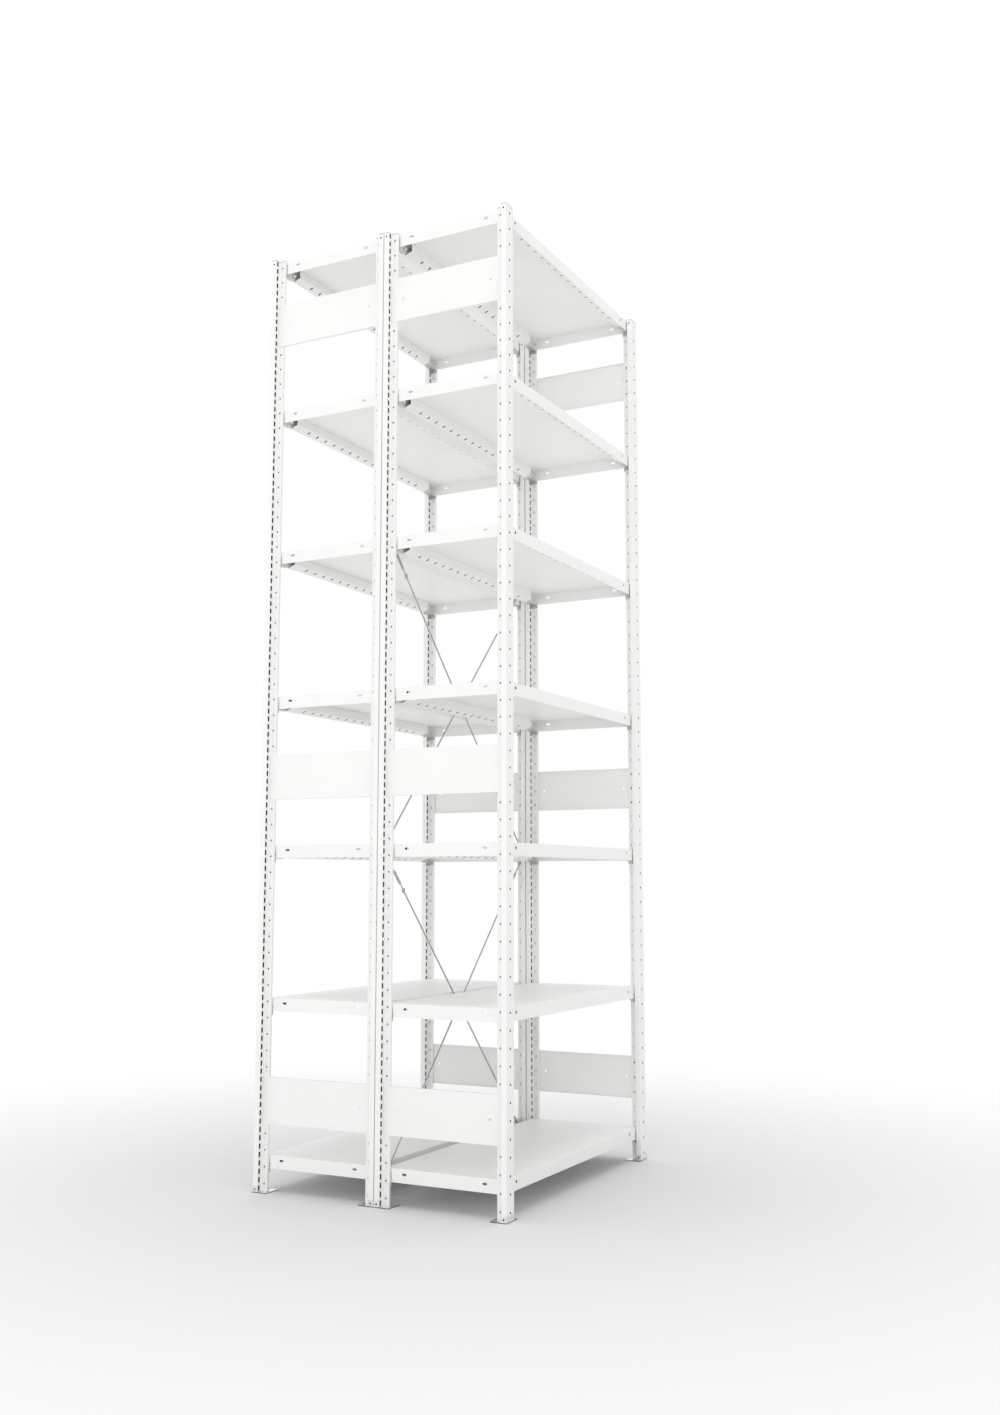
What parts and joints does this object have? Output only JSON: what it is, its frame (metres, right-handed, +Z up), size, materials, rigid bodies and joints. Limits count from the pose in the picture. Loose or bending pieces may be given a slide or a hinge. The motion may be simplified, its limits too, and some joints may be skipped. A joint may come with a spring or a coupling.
{
  "type": "metal shelving unit",
  "caption": "Tall double-sided boltless metal shelving: tray shelves hooked between slotted T posts, end panels, cross rods with turnbuckles, base plates.",
  "frame": {"origin": "on the floor, at the middle of the eight base plates", "axes": "+Z up; +X along the shelves; -Y towards the aisle that the front unit faces, +Y towards the rear unit's aisle"},
  "size_m": [1.0562, 0.8798, 3],
  "materials": {
    "post_paint": "light grey powder coat, satin",
    "shelf_paint": "light grey powder coat, satin",
    "panel_paint": "light grey powder coat, satin",
    "zinc_foot": "zinc plated, semi-matt",
    "rod_steel": "zinc plated, smooth"
  },
  "bodies": {
    "frame": {"brace_lower_falling_hook_rod": "rod_steel", "brace_lower_falling_long_rod": "rod_steel", "brace_lower_rising_hook_rod": "rod_steel", "brace_lower_rising_long_rod": "rod_steel", "brace_upper_falling_hook_rod": "rod_steel", "brace_upper_falling_long_rod": "rod_steel", "brace_upper_rising_hook_rod": "rod_steel", "brace_upper_rising_long_rod": "rod_steel", "front_unit_end_panel_left_low": "panel_paint", "front_unit_end_panel_left_mid": "panel_paint", "front_unit_end_panel_left_top": "panel_paint", "front_unit_end_panel_right_low": "panel_paint", "front_unit_end_panel_right_mid": "panel_paint", "front_unit_end_panel_right_top": "panel_paint", "front_unit_foot_left_back": "zinc_foot", "front_unit_foot_left_front": "zinc_foot", "front_unit_foot_right_back": "zinc_foot", "front_unit_foot_right_front": "zinc_foot", "front_unit_post_left_back": "post_paint", "front_unit_post_left_front": "post_paint", "front_unit_post_right_back": "post_paint", "front_unit_post_right_front": "post_paint", "front_unit_shelf_1": "shelf_paint", "front_unit_shelf_2": "shelf_paint", "front_unit_shelf_3": "shelf_paint", "front_unit_shelf_4": "shelf_paint", "front_unit_shelf_5": "shelf_paint", "front_unit_shelf_6": "shelf_paint", "front_unit_shelf_7": "shelf_paint", "rear_unit_end_panel_left_low": "panel_paint", "rear_unit_end_panel_left_mid": "panel_paint", "rear_unit_end_panel_left_top": "panel_paint", "rear_unit_end_panel_right_low": "panel_paint", "rear_unit_end_panel_right_mid": "panel_paint", "rear_unit_end_panel_right_top": "panel_paint", "rear_unit_foot_left_back": "zinc_foot", "rear_unit_foot_left_front": "zinc_foot", "rear_unit_foot_right_back": "zinc_foot", "rear_unit_foot_right_front": "zinc_foot", "rear_unit_post_left_back": "post_paint", "rear_unit_post_left_front": "post_paint", "rear_unit_post_right_back": "post_paint", "rear_unit_post_right_front": "post_paint", "rear_unit_shelf_1": "shelf_paint", "rear_unit_shelf_2": "shelf_paint", "rear_unit_shelf_3": "shelf_paint", "rear_unit_shelf_4": "shelf_paint", "rear_unit_shelf_5": "shelf_paint", "rear_unit_shelf_6": "shelf_paint", "rear_unit_shelf_7": "shelf_paint"},
    "brace_lower_falling_turnbuckle_body": {"brace_lower_falling_turnbuckle": "rod_steel"},
    "brace_lower_rising_turnbuckle_body": {"brace_lower_rising_turnbuckle": "rod_steel"},
    "brace_upper_falling_turnbuckle_body": {"brace_upper_falling_turnbuckle": "rod_steel"},
    "brace_upper_rising_turnbuckle_body": {"brace_upper_rising_turnbuckle": "rod_steel"}
  },
  "joints": [
    {"name": "brace_lower_falling_turnbuckle_turn", "type": "hinge", "parent": "frame", "child": "brace_lower_falling_turnbuckle_body", "pos_m": [-0.38839, 0.01175, 0.95596], "axis": [-0.6908, 0, 0.723], "range_deg": [-720, 720]},
    {"name": "brace_lower_rising_turnbuckle_turn", "type": "hinge", "parent": "frame", "child": "brace_lower_rising_turnbuckle_body", "pos_m": [0.38839, 0.00625, 0.95596], "axis": [0.6908, 0, 0.723], "range_deg": [-720, 720]},
    {"name": "brace_upper_falling_turnbuckle_turn", "type": "hinge", "parent": "frame", "child": "brace_upper_falling_turnbuckle_body", "pos_m": [-0.38839, 0.01175, 1.95596], "axis": [-0.6908, 0, 0.723], "range_deg": [-720, 720]},
    {"name": "brace_upper_rising_turnbuckle_turn", "type": "hinge", "parent": "frame", "child": "brace_upper_rising_turnbuckle_body", "pos_m": [0.38839, 0.00625, 1.95596], "axis": [0.6908, 0, 0.723], "range_deg": [-720, 720]}
  ]
}
